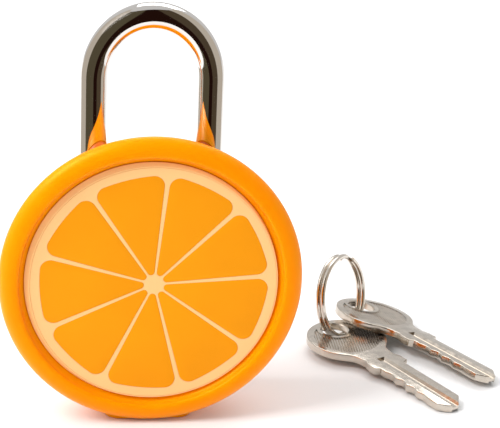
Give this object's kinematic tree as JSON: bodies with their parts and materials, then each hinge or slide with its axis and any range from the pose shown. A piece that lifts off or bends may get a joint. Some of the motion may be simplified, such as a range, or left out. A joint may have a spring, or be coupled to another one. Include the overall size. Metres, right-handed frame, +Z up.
{
  "type": "padlock",
  "caption": "Round novelty padlock shaped as a citrus slice, with a polished steel shackle and keys on a split ring beside it.",
  "frame": {"origin": "centre of the opening in the flat foot under the round body, below the plane of the shackle's legs", "axes": "+Z up along the shackle's legs, -Y out of the round face, +X towards the keys"},
  "size_m": [0.1226, 0.0619, 0.0986],
  "materials": {
    "orange_plastic": "glossy orange moulded plastic",
    "orange_plastic_rear": "glossy orange moulded plastic",
    "cream_plastic": "semi-gloss cream plastic",
    "orange_inlay": "semi-gloss amber orange plastic",
    "foam_tape": "white double-sided foam tape",
    "zinc_screw": "zinc plated",
    "orange_collar": "orange plastic",
    "zinc_casting": "as-cast zinc alloy",
    "steel_cover": "pressed steel",
    "steel_rivet": "steel",
    "polished_shackle": "polished nickel plate",
    "spring_wire": "spring steel",
    "steel_pin": "steel",
    "brass_plug": "turned brass",
    "spring_steel_clip": "spring steel",
    "steel_spindle": "steel",
    "brass_pins": "brass",
    "steel_drivers": "steel",
    "pin_spring_wire": "spring steel",
    "brass_caps": "brass",
    "steel_latch": "hardened steel",
    "latch_spring_wire": "spring steel",
    "nickel_ring": "nickel plated",
    "nickel_key": "nickel plated, tumbled",
    "nickel_key_b": "nickel plated, tumbled"
  },
  "bodies": {
    "lock_body": {"front_shell": "orange_plastic", "rear_shell": "orange_plastic_rear", "face_disc": "cream_plastic", "segment_inlays": "orange_inlay", "disc_adhesive_pad": "foam_tape", "shell_screws": "zinc_screw", "shackle_collars": "orange_collar", "lock_case": "zinc_casting", "case_cover": "steel_cover", "case_rivets": "steel_rivet", "shackle_stop_pin": "steel_pin", "driver_pins": "steel_drivers", "pin_springs": "pin_spring_wire", "chamber_caps": "brass_caps", "latch_spring": "latch_spring_wire", "shackle_spring": "spring_wire"},
    "plug_group": {"plug": "brass_plug", "plug_clip": "spring_steel_clip", "cam_spindle": "steel_spindle", "key_pins": "brass_pins"},
    "latch": {"latch_bolt": "steel_latch"},
    "shackle": {"shackle": "polished_shackle"},
    "key_ring": {"split_ring": "nickel_ring"},
    "key_a": {"key_a": "nickel_key"},
    "key_b": {"key_b": "nickel_key_b"}
  },
  "joints": [
    {"name": "plug_turn", "type": "hinge", "parent": "lock_body", "child": "plug_group", "pos_m": [0, -0.0015, 0], "axis": [0, 0, 1], "range_deg": [-90, 0]},
    {"name": "latch_slide", "type": "slide", "parent": "lock_body", "child": "latch", "axis": [1, 0, 0], "range_m": [0, 0.003]},
    {"name": "shackle_lift", "type": "slide", "parent": "lock_body", "child": "shackle", "axis": [0, 0, 1], "range_m": [0, 0.014], "deforming": ["shackle_spring"]},
    {"name": "key_ring_lift", "type": "slide", "parent": "lock_body", "child": "key_ring", "axis": [0, 0, 1], "range_m": [0, 0.06]},
    {"name": "key_a_turn", "type": "hinge", "parent": "key_ring", "child": "key_a", "pos_m": [0.05072, 0.03129, 0.00306], "axis": [0.0209, -0.0363, 0.9991], "range_deg": [-8, 3]},
    {"name": "key_b_turn", "type": "hinge", "parent": "key_ring", "child": "key_b", "pos_m": [0.05942, 0.04275, 0.00474], "axis": [0.1907, 0.0604, 0.9798], "range_deg": [-8, 0]}
  ],
  "couplings": [
    {"joint": "latch_slide", "follows": "plug_turn", "m_per_rad": -0.0019099}
  ]
}
